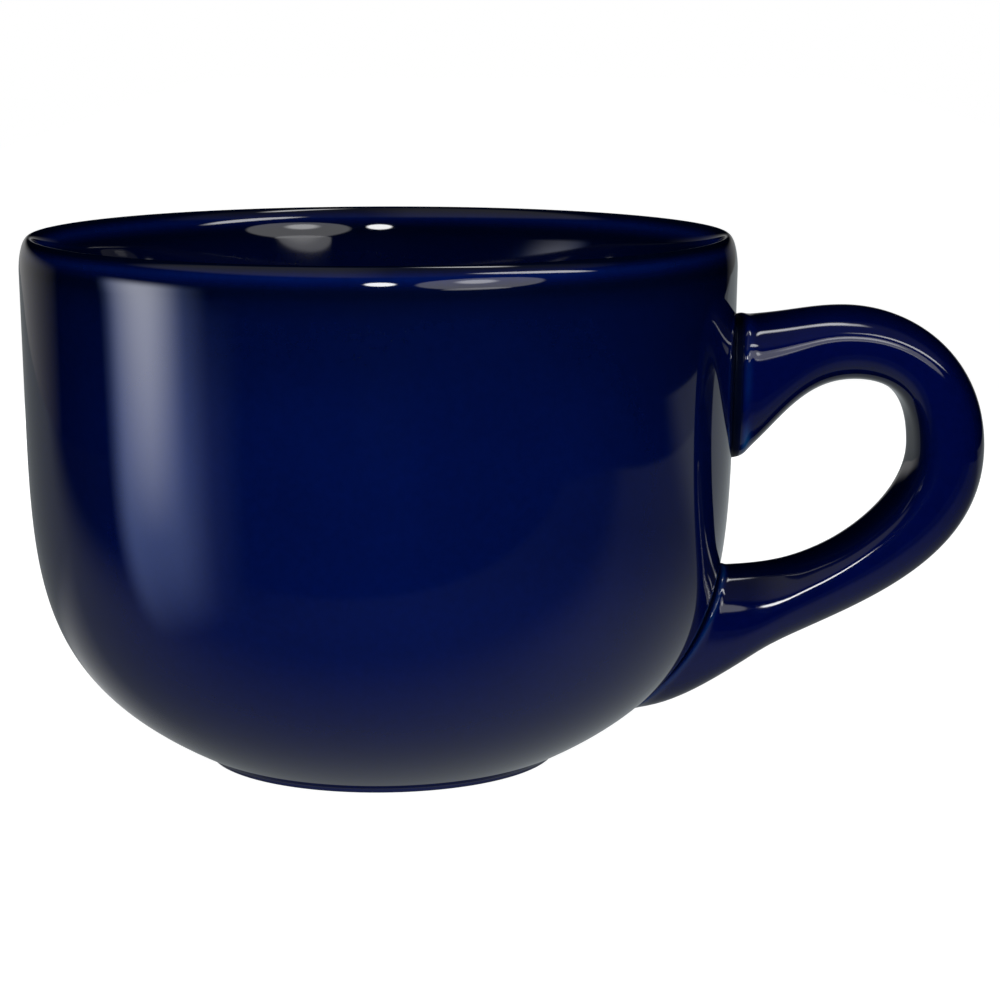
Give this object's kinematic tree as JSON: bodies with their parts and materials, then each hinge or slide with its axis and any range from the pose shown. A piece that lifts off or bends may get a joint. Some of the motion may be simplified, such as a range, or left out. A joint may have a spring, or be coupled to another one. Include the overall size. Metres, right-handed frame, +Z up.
{
  "type": "latte cup",
  "caption": "Wide glazed ceramic cup with a rounded bowl, straight upper wall, low foot ring and an ear-shaped handle, for milky coffee, soup or cereal.",
  "frame": {"origin": "on the table, under the middle of the cup's whole length, handle included", "axes": "+X from the bowl towards the handle, +Z up, +Y across"},
  "size_m": [0.1474, 0.108, 0.08],
  "materials": {
    "cobalt_glaze": "deep cobalt blue gloss glaze over pale stoneware, bare on the bottom of the foot ring"
  },
  "bodies": {
    "root": {"cup_body": "cobalt_glaze", "handle": "cobalt_glaze", "upper_joint_slip": "cobalt_glaze", "lower_joint_slip": "cobalt_glaze"}
  },
  "joints": []
}
